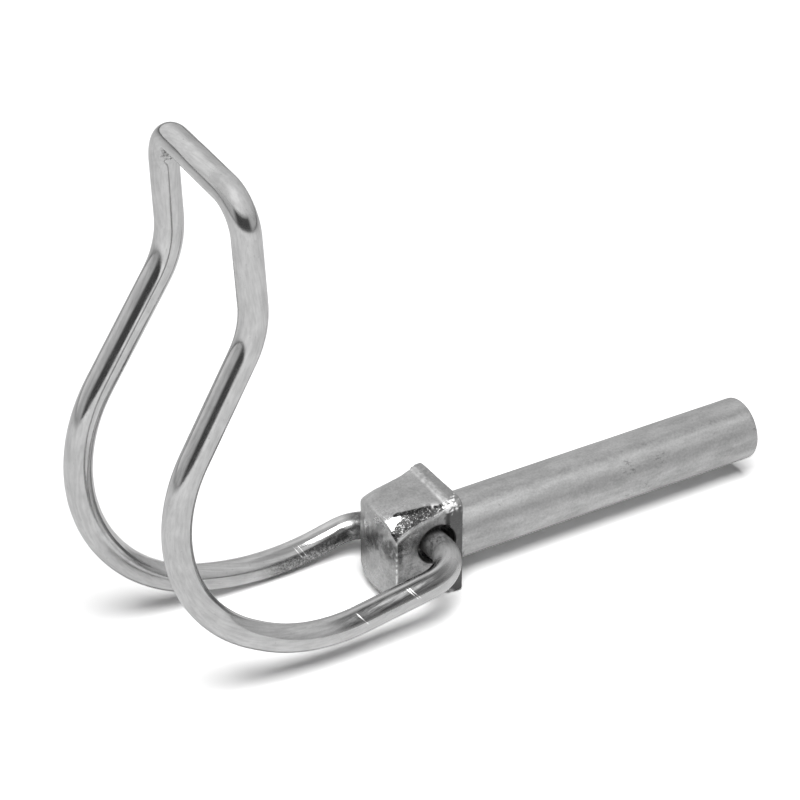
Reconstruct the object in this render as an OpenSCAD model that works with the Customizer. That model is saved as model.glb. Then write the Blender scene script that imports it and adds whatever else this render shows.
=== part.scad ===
// Lynch pin of the shaft-locking kind: a round shaft with a forged head, and a spring wire loop that
// swings about the head's cross hole and closes over the shaft's tip.
//
// Axes: +X along the shaft towards its tip, +Y along the cross hole, origin where the shaft's axis meets
// the collar's seating face. The part lies on a table with its shaft level, on the lower edge of the
// collar and, within half a millimetre, on the lower arm of the loop.

/* [Shaft] */
// Diameter of the shaft
shaft_d = 8; // [7:0.5:9]
// Usable length, from the collar's face to the tip
shaft_len = 44.5; // [40:0.5:50]
// Broken edge at the tip
tip_break = 0.2; // [0.1:0.05:0.4]

/* [Head] */
// Length of the whole head, along the shaft's axis
head_len = 9.8; // [9.5:0.1:10.5]
// Width across the two flats that the cross hole opens on
flats_w = 9.2; // [9:0.1:9.4]
// Height of the head's own axis above the shaft's axis
head_rise = 0.4; // [0:0.1:1]
// Radius of the conical corners where they flare out to the collar
cone_rear_r = 6.75; // [6.5:0.05:7]
// Radius of the conical corners where they start to round off towards the head's end
cone_mid_r = 6.45; // [6.2:0.05:6.6]
// Radius of the conical corners at the head's end
cone_front_r = 5.6; // [5.4:0.1:6]
// Height of the head's top above the shaft's axis, at its end
front_top = 6.1; // [5.8:0.1:6.3]
// Depth of the head's underside below the shaft's axis, at its end
front_drop = 4.9; // [4.6:0.1:5.2]
// Radius of the crown on the head's end
crown_r = 14; // [12:1:18]
// Distance of the crown's middle from the middle of the head
crown_shift = 0.6; // [0:0.1:0.8]

/* [Collar] */
// Thickness of the collar
collar_t = 1.1; // [0.9:0.1:1.2]
// Width of the collar, along the cross hole
collar_w = 9.7; // [9.5:0.1:10]
// Height of the collar above the shaft's axis
collar_top = 6.95; // [6.8:0.05:7.1]
// Depth of the collar below the shaft's axis
collar_drop = 6.0; // [6:0.1:6.6]
// Corner radius of the collar
collar_r = 0.6; // [0.3:0.1:1]

/* [Cross hole] */
// Diameter of the cross hole
hole_d = 4.9; // [4.9:0.05:5.1]
// Distance of the hole's axis behind the collar's seating face
hole_back = 3.6; // [3.6:0.05:3.8]
// Height of the hole's axis above the shaft's axis
hole_rise = 1.65; // [1.6:0.05:1.7]

/* [Wire loop] */
// Diameter of the wire
wire_d = 3.4; // [3:0.1:3.4]
// Distance between the centre lines of the two arms
loop_w = 19.5; // [19:0.5:21]
// Bend radius where an arm turns into its leg
leg_r = 4.8; // [4.6:0.1:5]
// Bend radius at the two upper corners
corner_r = 4.5; // [4:0.1:5]
// Gap between the wire's two ends inside the hole
end_gap = 2; // [2:0.1:3]

/* [Hidden] */

shaft_r = shaft_d / 2;
wire_r = wire_d / 2;
arm_y = loop_w / 2;

// The loop turns about the hole's axis.
hinge = [-hole_back, hole_rise];

// Heights of the head's top and underside at the collar, and lengths of its corners' flare and round
shoulder_top = collar_top - 0.4;
shoulder_drop = collar_drop - 0.3;
flare_len = 2.5;
flare_rise = 1.3;
round_len = 2.7;

// Corners of each leg, from the wire's end in the hole to the foot of its arm: [x from the hinge, y from
// the middle, z from the hinge]. The near leg lies low in the hole. The far one slopes down out of it
// and steps across to an arm that sits lower and further back.
near_leg = [[0.35, end_gap / 2, -0.55], [0.35, arm_y, -0.55]];
near_leg_r = [leg_r];
far_leg = [[0, end_gap / 2, 0.55], [-0.15, 6.5, -1.13], [-1.25, 7.65, -3.65], [-3.7, arm_y, -4.15]];
far_leg_r = [3, 3, leg_r];

// Each arm as it is bent, from its foot upwards: where it sets off, as degrees above the direction away
// from the tip, then straights [length] and bends [radius, turn]. A positive turn lifts the wire.
near_start = -8.5;
near_arm = [[14.2], [20.2, 38.8], [1], [18.9, 89.5], [12.7], [11, -33.5], [12.2]];
far_start = -11.9;
far_arm = [[4.3], [33.4, 27], [1], [20.2, 107.9], [14.2], [11.8, -35.6], [11.3]];
// The bar between the arms bows outwards at its middle
bar_bow = [-0.6, 0, 0.8];
bar_r = 12;
// A bend is a hair thicker than the straights, which run a little way into it
bend_swell = 0.04;
straight_lap = 0.08;

// ---- vectors -------------------------------------------------------------------------------------
function unit(v) = v / norm(v);
// Places an object whose local X and Y axes point along x and y, with its origin at o
function frame(o, x, y) =
    let (z = cross(x, y))
    [[x[0], y[0], z[0], o[0]], [x[1], y[1], z[1], o[1]], [x[2], y[2], z[2], o[2]], [0, 0, 0, 1]];

// ---- the path of an arm in its own plane: [x, z, heading] ------------------------------------------
function heading_dir(h) = [-cos(h), 0, sin(h)];
function heading_left(h) = [sin(h), 0, cos(h)];
function advance(s, step) =
    len(step) == 1
        ? [s[0] - step[0] * cos(s[2]), s[1] + step[0] * sin(s[2]), s[2]]
        : let (side = sign(step[1]) * step[0], h = s[2] + step[1])
          [s[0] + side * (sin(s[2]) - sin(h)), s[1] + side * (cos(s[2]) - cos(h)), h];
function walk(s, steps, n) = n == 0 ? s : advance(walk(s, steps, n - 1), steps[n - 1]);
function point(s, y) = [s[0], y, s[1]];
// Corners of a leg on the side that side = -1 or 1 gives
function leg_points(leg, side) = [for (p = leg) [hinge[0] + p[0], side * p[1], hinge[1] + p[2]]];
// Start of an arm at the foot of its leg
function arm_start(leg, heading) =
    let (foot = leg[len(leg) - 1])
    [hinge[0] + foot[0], hinge[1] + foot[2], heading];
function arm_point(leg, heading, steps, n, side) =
    point(walk(arm_start(leg, heading), steps, n), side * arm_y);

// ---- wire ----------------------------------------------------------------------------------------
// Straight wire between points a and b, which runs on past each of them by its lap
module wire_straight(a, b, lap_a = straight_lap, lap_b = straight_lap) {
    d = unit(b - a);
    side = abs(d[1]) > 0.9 ? [1, 0, 0] : unit(cross([0, 1, 0], d));
    multmatrix(frame(a - lap_a * d, side, cross(d, side)))
        cylinder(d = wire_d, h = norm(b - a) + lap_a + lap_b, $fn = 48);
}

// Bend that starts at p in direction d and turns towards n
module wire_bend(p, d, n, r, turn) {
    multmatrix(frame(p + r * n, -n, d))
        rotate_extrude(angle = turn, $fn = 96)
            translate([r, 0])
                circle(d = wire_d + bend_swell, $fn = 48);
}

// Length that a bend takes from each of the straights beside it
function setback(a, corner, b, r) =
    let (turn = acos(unit(corner - a) * unit(b - corner)))
    r * tan(turn / 2);

// Bend that rounds the corner between points a and b
module wire_corner(a, corner, b, r) {
    d = unit(corner - a);
    e = unit(b - corner);
    turn = acos(d * e);
    wire_bend(corner - r * tan(turn / 2) * d, d, unit(e - (d * e) * d), r, turn);
}

// Wire through a row of points, with a bend of its own radius at each one. The last point only gives
// the direction in which the wire leaves the last bend.
module wire_through(points, radii) {
    last = len(points) - 1;
    back = [for (i = [0:last - 1])
        i == 0 ? 0 : setback(points[i - 1], points[i], points[i + 1], radii[i - 1])];
    for (i = [1:last - 1]) {
        d = unit(points[i] - points[i - 1]);
        wire_straight(points[i - 1] + back[i - 1] * d, points[i] - back[i] * d,
                      lap_a = i == 1 ? 0 : straight_lap);
        wire_corner(points[i - 1], points[i], points[i + 1], radii[i - 1]);
    }
}

// One step of an arm, drawn in the plane y, with some length kept back at its start and its end
module wire_step(s, step, y, skip_start, skip_end) {
    d = heading_dir(s[2]);
    if (len(step) == 1)
        wire_straight(point(s, y) + skip_start * d, point(advance(s, step), y) - skip_end * d);
    else
        wire_bend(point(s, y), d, sign(step[1]) * heading_left(s[2]), step[0], abs(step[1]));
}

// Half of the loop: a leg in the hole, the bends out of it, an arm, and the corner to the bar's middle
module half_loop(side, leg, radii, heading, steps, bar_middle) {
    last = len(steps) - 1;
    corners = leg_points(leg, side);
    foot = corners[len(corners) - 1];
    ahead = foot + heading_dir(heading);
    before = arm_point(leg, heading, steps, last, side);
    top = arm_point(leg, heading, steps, last + 1, side);
    foot_setback = setback(corners[len(corners) - 2], foot, ahead, radii[len(radii) - 1]);
    top_setback = setback(before, top, bar_middle, corner_r);
    wire_through(concat(corners, [ahead]), radii);
    for (i = [0:last])
        wire_step(walk(arm_start(leg, heading), steps, i), steps[i], side * arm_y,
                  i == 0 ? foot_setback : 0, i == last ? top_setback : 0);
    wire_corner(before, top, bar_middle, corner_r);
}

module wire_loop() {
    near_end = len(near_arm);
    far_end = len(far_arm);
    near_top = arm_point(near_leg, near_start, near_arm, near_end, -1);
    far_top = arm_point(far_leg, far_start, far_arm, far_end, 1);
    middle = (near_top + far_top) / 2 + bar_bow;
    near_before = arm_point(near_leg, near_start, near_arm, near_end - 1, -1);
    far_before = arm_point(far_leg, far_start, far_arm, far_end - 1, 1);
    near_skip = setback(near_before, near_top, middle, corner_r);
    far_skip = setback(far_before, far_top, middle, corner_r);
    middle_skip = setback(near_top, middle, far_top, bar_r);
    color("silver")
        union() {
            half_loop(-1, near_leg, near_leg_r, near_start, near_arm, middle);
            half_loop(1, far_leg, far_leg_r, far_start, far_arm, middle);
            wire_straight(near_top + near_skip * unit(middle - near_top),
                          middle + middle_skip * unit(near_top - middle));
            wire_corner(near_top, middle, far_top, bar_r);
            wire_straight(middle + middle_skip * unit(far_top - middle),
                          far_top + far_skip * unit(middle - far_top));
        }
}

// ---- pin -----------------------------------------------------------------------------------------
module shaft() {
    rotate([0, 90, 0])
        rotate_extrude($fn = 96)
            polygon([[0, -collar_t / 2], [shaft_r, -collar_t / 2], [shaft_r, shaft_len - tip_break],
                     [shaft_r - tip_break, shaft_len], [0, shaft_len]]);
}

// Plate with round corners, standing across the shaft's axis
module collar() {
    inner_w = collar_w - 2 * collar_r;
    h = collar_top + collar_drop;
    translate([-collar_t, 0, (collar_top - collar_drop) / 2])
        rotate([90, 0, 90])
            linear_extrude(collar_t)
                union() {
                    square([inner_w, h], center = true);
                    square([collar_w, h - 2 * collar_r], center = true);
                    for (x = [-1, 1], y = [-1, 1])
                        translate([x * inner_w / 2, y * (h / 2 - collar_r)])
                            circle(collar_r, $fn = 32);
                }
}

// Side outline of the head, carried through from flat to flat
module head_slab() {
    rotate([90, 0, 0])
        linear_extrude(flats_w, center = true)
            polygon([[-collar_t / 2, -shoulder_drop], [-collar_t / 2, shoulder_top],
                     [-collar_t, shoulder_top], [-head_len, front_top], [-head_len, -front_drop],
                     [-collar_t, -shoulder_drop]]);
}

// Conical corners of the head, turned about the head's own axis. They flare out to the collar and round
// off towards the head's end.
module head_cone() {
    translate([0, 0, head_rise])
        rotate([0, -90, 0])
            rotate_extrude($fn = 96)
                polygon([[0, 0], [cone_rear_r + 2 * flare_rise, 0], [cone_rear_r + flare_rise, collar_t],
                         [cone_rear_r, collar_t + flare_len], [cone_mid_r, head_len - round_len],
                         [cone_front_r, head_len], [0, head_len]]);
}

module head_crown() {
    translate([crown_r - head_len, -crown_shift, 0])
        cylinder(r = crown_r, h = 3 * collar_top, center = true, $fn = 192);
}

module cross_hole() {
    translate([-hole_back, 0, hole_rise])
        rotate([90, 0, 0])
            cylinder(d = hole_d, h = 2 * collar_w, center = true, $fn = 96);
}

module pin() {
    color("darkgray")
        union() {
            difference() {
                union() {
                    intersection() {
                        head_slab();
                        head_cone();
                        head_crown();
                    }
                    collar();
                }
                cross_hole();
            }
            shaft();
        }
}

pin();
wire_loop();
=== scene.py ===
"""Looks of a lynch pin: a forged, zinc-plated head on a round shaft, with a bent spring wire loop.

Lengths are in metres and angles in degrees, apart from the sizes of the pin and the loop, which are in
millimetres. +X runs along the shaft towards its tip, and +Y along the cross hole.
"""

from __future__ import annotations

import logging
import math
from dataclasses import dataclass
from enum import Enum
from functools import reduce
from typing import NamedTuple

import bmesh
import bpy
import numpy as np
from mathutils import Matrix, Vector

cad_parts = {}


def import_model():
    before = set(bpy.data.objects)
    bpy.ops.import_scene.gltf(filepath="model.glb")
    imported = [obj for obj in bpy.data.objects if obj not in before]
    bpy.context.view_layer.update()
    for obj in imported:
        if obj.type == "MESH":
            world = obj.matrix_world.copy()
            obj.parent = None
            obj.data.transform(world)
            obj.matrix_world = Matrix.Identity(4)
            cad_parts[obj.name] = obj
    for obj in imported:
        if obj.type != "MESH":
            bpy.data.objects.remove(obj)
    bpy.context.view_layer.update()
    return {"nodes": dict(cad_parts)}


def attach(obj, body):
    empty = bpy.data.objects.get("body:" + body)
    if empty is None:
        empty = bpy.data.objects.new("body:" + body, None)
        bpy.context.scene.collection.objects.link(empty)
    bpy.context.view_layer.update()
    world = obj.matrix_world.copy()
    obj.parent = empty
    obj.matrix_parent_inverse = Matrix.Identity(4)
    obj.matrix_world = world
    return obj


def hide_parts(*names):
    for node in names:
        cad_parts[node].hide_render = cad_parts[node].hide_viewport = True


LOG = logging.getLogger("lynch_pin")
MM = 0.001
TINY = 1e-9
Point = tuple[float, float, float]
Pair = tuple[float, float]
Socket = bpy.types.NodeSocket


class Slot(Enum):
    """The record's material slots."""

    FORGED = "forged_steel"
    WIRE = "spring_wire"


class Body(Enum):
    """The rigid bodies that the pieces ride on."""

    PIN = "pin"
    LOOP = "loop"


class Noise(NamedTuple):
    """A noise pattern: how dense, fine and stirred it is, and how it is stretched and turned."""

    scale: float  # features per metre
    detail: float  # octaves
    roughness: float  # strength of the finer octaves
    distortion: float = 0.0  # how far it is stirred
    density: Point = (1, 1, 1)  # share of the scale along each axis
    turn: Point = (0, 0, 0)  # radians


class Fade(NamedTuple):
    """A smooth change from start to end while a value goes from low to high."""

    low: float
    high: float
    start: float = 0.0
    end: float = 1.0


class Stretch(NamedTuple):
    """A stretch of the wire that fades in past its beginning and out before its end."""

    begin: float
    end: float
    fade: float


class Graph:
    """Builds a node tree with few words: nodes by type, and links by socket.

    ROW and SPACING lay the nodes out, and NOISE_SPAN holds nearly all of a noise's values.
    """

    ROW = 12
    SPACING = (180, -220)
    NOISE_SPAN: Pair = (0.3, 0.7)

    def __init__(self, tree: bpy.types.NodeTree) -> None:
        """Starts on an existing tree.

        Args:
            tree: The shader or geometry node tree to fill.
        """
        self.tree = tree
        self._count = 0

    def node(self, kind: str, inputs: dict[object, object] | None = None,
             **settings: object) -> bpy.types.Node:
        """Adds a node.

        Args:
            kind: The node's type name.
            inputs: Sockets or plain values for its inputs, by their names or numbers.
            **settings: Properties to set on it first, such as operation or data_type.

        Returns:
            The new node.
        """
        made = self.tree.nodes.new(kind)
        self._count += 1
        down, across = divmod(self._count, self.ROW)
        made.location = (self.SPACING[0] * across, self.SPACING[1] * down)
        for name, value in settings.items():
            setattr(made, name, value)
        for key, value in (inputs or {}).items():
            self.put(made.inputs[key], value)
        return made

    def put(self, target: Socket, value: object) -> None:
        """Feeds a socket from another socket or from a plain value.

        Args:
            target: The input socket.
            value: An output socket, or a value for the input.
        """
        if isinstance(value, Socket):
            self.tree.links.new(value, target)
        else:
            target.default_value = value

    def math(self, operation: str, *values: object, clamp: bool = False) -> Socket:
        """Adds a Math node.

        Args:
            operation: The node's operation, such as ADD.
            *values: Sockets or numbers for its inputs, in order.
            clamp: Whether the result is held between 0 and 1.

        Returns:
            The node's output.
        """
        made = self.node("ShaderNodeMath", dict(enumerate(values)), operation=operation, use_clamp=clamp)
        return made.outputs[0]

    def plus(self, *values: object) -> Socket:
        """Adds values up, in order."""
        return reduce(lambda first, second: self.math("ADD", first, second), values)

    def times(self, *values: object) -> Socket:
        """Multiplies values with each other, in order."""
        return reduce(lambda first, second: self.math("MULTIPLY", first, second), values)

    def most(self, *values: object) -> Socket:
        """Picks the largest of some values."""
        return reduce(lambda first, second: self.math("MAXIMUM", first, second), values)

    def ramp(self, value: object, low: float, high: float, start: float = 0.0, end: float = 1.0) -> Socket:
        """Maps a value smoothly from one range to another, and holds it there.

        Args:
            value: The socket or number to map.
            low: Value that gives start.
            high: Value that gives end.
            start: Result at low.
            end: Result at high.

        Returns:
            The mapped value.
        """
        inputs = {"Value": value, "From Min": low, "From Max": high, "To Min": start, "To Max": end}
        made = self.node("ShaderNodeMapRange", inputs, interpolation_type="SMOOTHSTEP", clamp=True)
        return made.outputs[0]

    def band(self, value: object, low: float, full: float, fading: float, high: float) -> Socket:
        """Picks a range of a value, with soft ends.

        Args:
            value: The socket or number to look at.
            low: Where the result leaves 0.
            full: Where it reaches 1.
            fading: Where it leaves 1 again.
            high: Where it is back at 0.

        Returns:
            1 in the range and 0 outside it.
        """
        return self.times(self.ramp(value, low, full), self.ramp(value, fading, high, 1.0, 0.0))

    def swing(self, noise: Socket, middle: float, amount: float, span: Pair = NOISE_SPAN) -> Socket:
        """Lets a value swing about its middle with a noise.

        Args:
            noise: The noise value.
            middle: The value at the noise's middle.
            amount: How far it swings to either side.
            span: The noise's values at the two ends of the swing.

        Returns:
            The swinging value.
        """
        return self.ramp(noise, *span, middle - amount, middle + amount)

    def noise(self, where: Socket, pattern: Noise) -> Socket:
        """Adds a noise texture, with a Mapping node before it where it is stretched or turned.

        Args:
            where: The coordinates that it reads.
            pattern: The noise's values.

        Returns:
            The noise value, around 0.5.
        """
        if (pattern.density, pattern.turn) != ((1, 1, 1), (0, 0, 0)):
            placed = {"Vector": where, "Rotation": pattern.turn, "Scale": pattern.density}
            where = self.node("ShaderNodeMapping", placed).outputs[0]
        inputs = {"Vector": where, "Scale": pattern.scale, "Detail": pattern.detail,
                  "Roughness": pattern.roughness, "Distortion": pattern.distortion}
        return self.node("ShaderNodeTexNoise", inputs).outputs[0]

    def object_coordinates(self) -> Socket:
        """Gives the Object coordinates."""
        return self.node("ShaderNodeTexCoord").outputs["Object"]

    def attribute(self, name: str, output: str = "Fac") -> Socket:
        """Gives an output of a named attribute of the mesh."""
        return self.node("ShaderNodeAttribute", attribute_name=name).outputs[output]

    def mix(self, share: object, first: object, second: object) -> Socket:
        """Goes from the first number to the second one by the given share."""
        return self.node("ShaderNodeMix", {0: share, 2: first, 3: second}, data_type="FLOAT").outputs[0]

    def grey(self, value: Socket) -> Socket:
        """Turns a number into a grey colour."""
        return self.node("ShaderNodeCombineColor", {0: value, 1: value, 2: value}).outputs[0]

    def bump(self, height: Socket, depth: float) -> Socket:
        """Turns a height from 0 to 1 into a bumped normal, where 1 stands for the depth in metres."""
        return self.node("ShaderNodeBump", {"Height": height, "Strength": 1.0, "Distance": depth}).outputs[0]


def new_material(name: str) -> tuple[bpy.types.Material, Graph, bpy.types.Node]:
    """Starts a material.

    Args:
        name: The material's name.

    Returns:
        The material, its graph and its Principled shader.
    """
    made = bpy.data.materials.new(name)
    made.use_nodes = True
    return made, Graph(made.node_tree), made.node_tree.nodes["Principled BSDF"]


@dataclass(frozen=True)
class ForgedFinish:
    """Satin zinc plate over forged and turned steel: cloudy, finely speckled and a little pitted.

    A scuff is given by its place and its reach, in millimetres.
    """

    shade: float = 0.44
    cloud: float = 0.06
    clouds: Noise = Noise(420, 5, 0.6, 0.3, density=(0.45, 1, 1))
    speckle: float = 0.06
    grain: Noise = Noise(3600, 3, 0.65)
    grain_depth: float = 0.022 * MM
    streak: float = 0.012
    streaks: Noise = Noise(1500, 4, 0.65, density=(0.12, 1, 1))
    streak_span: Pair = (0.35, 0.65)
    roughness: float = 0.3
    roughness_swing: float = 0.06
    pitted: float = 0.6
    pits: Noise = Noise(2300, 5, 0.7)
    pit_edge: Fade = Fade(0.655, 0.7)
    # Dark tone of staining, pits and scuffs, and of the painted shade on the head and the shaft
    stain_and_shade_tone: float = 0.12
    blotches: Noise = Noise(1300, 6, 0.75)
    blotch_edge: Fade = Fade(0.36, 0.6, 1.0, 0.45)
    smears: Noise = Noise(900, 6, 0.75, density=(1, 1, 0.6))
    smear_edge: Fade = Fade(0.44, 0.68, 1.0, 0.1)
    scorched: float = 0.03
    fleck: float = 0.6
    crust: Noise = Noise(4200, 6, 0.85)
    fleck_span: Pair = (0.53, 0.65)
    scorch_edge: Fade = Fade(0.25, 0.6)
    # Painted highlights: the shade past white that the burr rim, the crease and the splash by the collar are
    # brightened to
    painted_highlight: float = 1.15
    painted_highlight_edge: Fade = Fade(0.3, 0.46)
    painted_highlight_roughness: float = 0.25
    scuffed: float = 0.5
    scuffs: tuple[tuple[float, float, float, float], ...] = ()
    scuff_core: float = 0.45
    scratches: Noise = Noise(3800, 4, 0.75, density=(0.35, 1, 1), turn=(0.5, 0.3, 0.7))
    scratch_edge: Fade = Fade(0.54, 0.62)

    def material(self) -> bpy.types.Material:
        """Builds the material.

        Returns:
            The finished material, on Object coordinates and the marks on the mesh.
        """
        made, graph, shader = new_material("forged_plate")
        where = graph.object_coordinates()
        cloud = graph.noise(where, self.clouds)
        fine = graph.noise(where, self.grain)
        crust = graph.noise(where, self.crust)
        scorch = graph.attribute("scorch")
        painted_highlight = graph.times(graph.attribute("painted_highlight"), graph.ramp(crust, *self.painted_highlight_edge))
        shade = graph.plus(graph.swing(cloud, self.shade, self.cloud), graph.swing(fine, 0.0, self.speckle),
                           graph.swing(graph.noise(where, self.streaks), 0.0, self.streak, self.streak_span))
        pits = graph.ramp(graph.noise(where, self.pits), *self.pit_edge)
        shade = graph.mix(graph.times(pits, self.pitted), shade, self.stain_and_shade_tone)
        shade = graph.mix(self.stain_and_shade_marks(graph, where), shade, self.stain_and_shade_tone)
        flecks = graph.ramp(crust, *self.fleck_span, self.scorched, self.fleck)
        shade = graph.mix(graph.ramp(scorch, *self.scorch_edge), shade, flecks)
        # Painted highlights on the burr rim, the crease and by the collar's corner
        shade = graph.mix(painted_highlight, shade, self.painted_highlight)
        graph.put(shader.inputs["Base Color"], graph.grey(self.scuff(graph, where, shade)))
        graph.put(shader.inputs["Metallic"], 1.0)
        roughness = graph.swing(cloud, self.roughness, -self.roughness_swing)
        roughness = graph.plus(roughness, graph.times(painted_highlight, self.painted_highlight_roughness))
        graph.put(shader.inputs["Roughness"], roughness)
        height = graph.plus(fine, graph.times(scorch, crust))
        graph.put(shader.inputs["Normal"], graph.bump(height, self.grain_depth))
        return made

    def stain_and_shade_marks(self, graph: Graph, where: Socket) -> Socket:
        """Breaks the mesh's two kinds of mark up into blotches and smears: staining together with painted
        shade, and the staining across the head's end.

        Args:
            graph: The material's graph.
            where: The Object coordinates.

        Returns:
            How dark each place is made by staining and painted shade, from 0 to 1.
        """
        blotch = graph.ramp(graph.noise(where, self.blotches), *self.blotch_edge)
        smear = graph.ramp(graph.noise(where, self.smears), *self.smear_edge)
        # The first kind mixes real staining with painted shade: the near flat, the corner by the collar, the
        # collar's foot and the band along the shaft
        return graph.math("ADD", graph.times(graph.attribute("stain_and_shade"), blotch),
                          graph.times(graph.attribute("end_stain"), smear), clamp=True)

    def scuff(self, graph: Graph, where: Socket, shade: Socket) -> Socket:
        """Darkens the scuffs, as slanting scratches that thin out around each scuff's place.

        Args:
            graph: The material's graph.
            where: The Object coordinates.
            shade: The shade so far.

        Returns:
            The shade with the scuffs.
        """
        scratched = graph.ramp(graph.noise(where, self.scratches), *self.scratch_edge)
        for scuff in self.scuffs:
            *place, reach = (size * MM for size in scuff)
            away = graph.node("ShaderNodeVectorMath", {0: where, 1: place}, operation="DISTANCE")
            inside = graph.ramp(away.outputs["Value"], self.scuff_core * reach, reach, self.scuffed, 0.0)
            shade = graph.mix(graph.times(inside, scratched), shade, self.stain_and_shade_tone)
        return shade


@dataclass(frozen=True)
class WireFinish:
    """Zinc plate over drawn spring wire: smoother and a little lighter than the forging.

    Stretches and places are measured along the wire from the near leg's inner end. A side is a range of
    how far the surface faces up, or far along +Y, from -1 to 1. A scratch is its place and its slant.
    """

    shade: float = 0.55
    cloud: float = 0.03
    clouds: Noise = Noise(500, 4, 0.55, 0.3)
    grain: Noise = Noise(4200, 3, 0.65)
    grain_depth: float = 0.0022 * MM
    roughness: float = 0.13
    roughness_swing: float = 0.04
    lane_radius: float = 1.7 * MM
    lane_density: float = 0.09
    drawn: float = 0.05
    drawing: Noise = Noise(3500, 4, 0.6)
    # Painted shadow: the leg in the cross hole and at its mouth is darkened, with a mottle
    leg_shadow_shade: float = 0.14
    shadowed_leg: Fade = Fade(4.4 * MM, 7.0 * MM, 1.0, 0.0)
    leg_shadow_mottle: Noise = Noise(1500, 5, 0.75)
    leg_shadow_mottle_edge: Fade = Fade(0.35, 0.6, 1.0, 0.6)
    dull_leg: Fade = Fade(6.1 * MM, 9.6 * MM, 0.9, 0.0)
    dull_corner: Stretch = Stretch(89.0 * MM, 101.0 * MM, 2.0 * MM)
    dull_side: Fade = Fade(0.42, 0.62)
    dull_metallic: float = 0.1
    specular: float = 0.5
    dull_specular: float = 0.1
    dull_roughness: float = 0.3
    # Tone of the arms' dirty smudges and of the painted shade with them, which the specks share: a painted
    # dark reflection on the near arm's upper side, painted shade on the far arm's underside and foot
    grime_and_shade_tone: float = 0.08
    grime_and_shade_dullness: float = 0.8
    grime_and_shade_side: Fade = Fade(0.1, 0.5, 1.0, 0.0)
    near_grime_and_shade: Stretch = Stretch(6.5 * MM, 27.0 * MM, 5.0 * MM)
    near_side: tuple[float, ...] = (0.35, 0.55, 0.95, 1.0)
    near_scuffs: Noise = Noise(1900, 6, 0.75)
    near_edge: Fade = Fade(0.42, 0.62, 1.0, 0.68)
    far_grime_and_shade: Stretch = Stretch(190.0 * MM, 211.0 * MM, 5.0 * MM)
    far_side: Fade = Fade(0.4, 0.62, 1.0, 0.0)
    far_patches: Noise = Noise(2600, 5, 0.8)
    far_edge: Fade = Fade(0.4, 0.66, 0.9, 0.2)
    foot_grime_and_shade: Stretch = Stretch(203.8 * MM, 222.0 * MM, 2.0 * MM)
    foot_edge: Fade = Fade(0.4, 0.66, 0.95, 0.65)
    specked: float = 0.6
    specks: Noise = Noise(3300, 5, 0.75)
    speck_edge: Fade = Fade(0.63, 0.7)
    scratches: tuple[Pair, ...] = ((13.4 * MM, -1.1 * MM), (13.7 * MM, -1.1 * MM), (20.6 * MM, -1.1 * MM),
                                   (197.3 * MM, 0.75 * MM), (197.9 * MM, 0.75 * MM))
    scratch_width: Pair = (0.03 * MM, 0.1 * MM)
    scratch_side: tuple[float, ...] = (0.05, 0.35, 0.85, 0.96)
    scratch_shade: float = 1.1
    scratch_breaks: Noise = Noise(2400, 6, 0.75, density=(0.22, 1, 1))
    scratch_edge: Fade = Fade(0.35, 0.5)

    def material(self) -> bpy.types.Material:
        """Builds the material.

        Returns:
            The finished material, on Object coordinates and the wire's own attributes.
        """
        made, graph, shader = new_material("drawn_wire_plate")
        where = graph.object_coordinates()
        along = graph.attribute("along")
        normal = graph.attribute("facing", "Vector")
        facing = graph.node("ShaderNodeSeparateXYZ", {0: normal}).outputs
        lanes = graph.node("ShaderNodeVectorMath", {0: normal, 1: (self.lane_radius,) * 3,
                                                    2: graph.times(along, self.lane_density)},
                           operation="MULTIPLY_ADD").outputs[0]
        cloud = graph.noise(where, self.clouds)
        # Painted shadow of the cross hole on the leg, mottled
        leg = graph.ramp(along, *self.shadowed_leg)
        uneven_strength = graph.ramp(graph.noise(where, self.leg_shadow_mottle), *self.leg_shadow_mottle_edge)
        shade = graph.mix(graph.times(leg, uneven_strength), graph.swing(cloud, self.shade, self.cloud), self.leg_shadow_shade)
        shade = graph.plus(shade, graph.swing(graph.noise(lanes, self.drawing), 0.0, self.drawn))
        # Dirty smudges and painted shade: the near arm's upper side and the far arm's underside and foot are
        # darkened
        near, far = self.grimes_and_shade(graph, where, along, facing["Z"], graph.noise(lanes, self.near_scuffs))
        dirt_and_shade = graph.times(graph.most(near, far), graph.ramp(facing["Y"], *self.grime_and_shade_side))
        shade = graph.mix(dirt_and_shade, shade, self.grime_and_shade_tone)
        specks = graph.ramp(graph.noise(where, self.specks), *self.speck_edge)
        shade = graph.mix(graph.times(specks, self.specked), shade, self.grime_and_shade_tone)
        shade = self.scratch(graph, where, along, facing["Z"], shade)
        graph.put(shader.inputs["Base Color"], graph.grey(shade))
        corner = self.stretch(graph, along, self.dull_corner)
        corner = graph.times(corner, graph.ramp(facing["Z"], *self.dull_side))
        dull = graph.most(leg, graph.ramp(along, *self.dull_leg), corner)
        graph.put(shader.inputs["Metallic"], graph.mix(dull, 1.0, self.dull_metallic))
        graph.put(shader.inputs["Specular IOR Level"], graph.mix(dull, self.specular, self.dull_specular))
        rough = graph.times(graph.most(dull, graph.times(dirt_and_shade, self.grime_and_shade_dullness)), self.dull_roughness)
        rough = graph.plus(graph.swing(cloud, self.roughness, -self.roughness_swing), rough)
        graph.put(shader.inputs["Roughness"], rough)
        graph.put(shader.inputs["Normal"], graph.bump(graph.noise(where, self.grain), self.grain_depth))
        return made

    def stretch(self, graph: Graph, along: Socket, part: Stretch) -> Socket:
        """Picks a stretch of the wire, as 1 in it and 0 outside it."""
        return graph.band(along, part.begin, part.begin + part.fade, part.end - part.fade, part.end)

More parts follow.
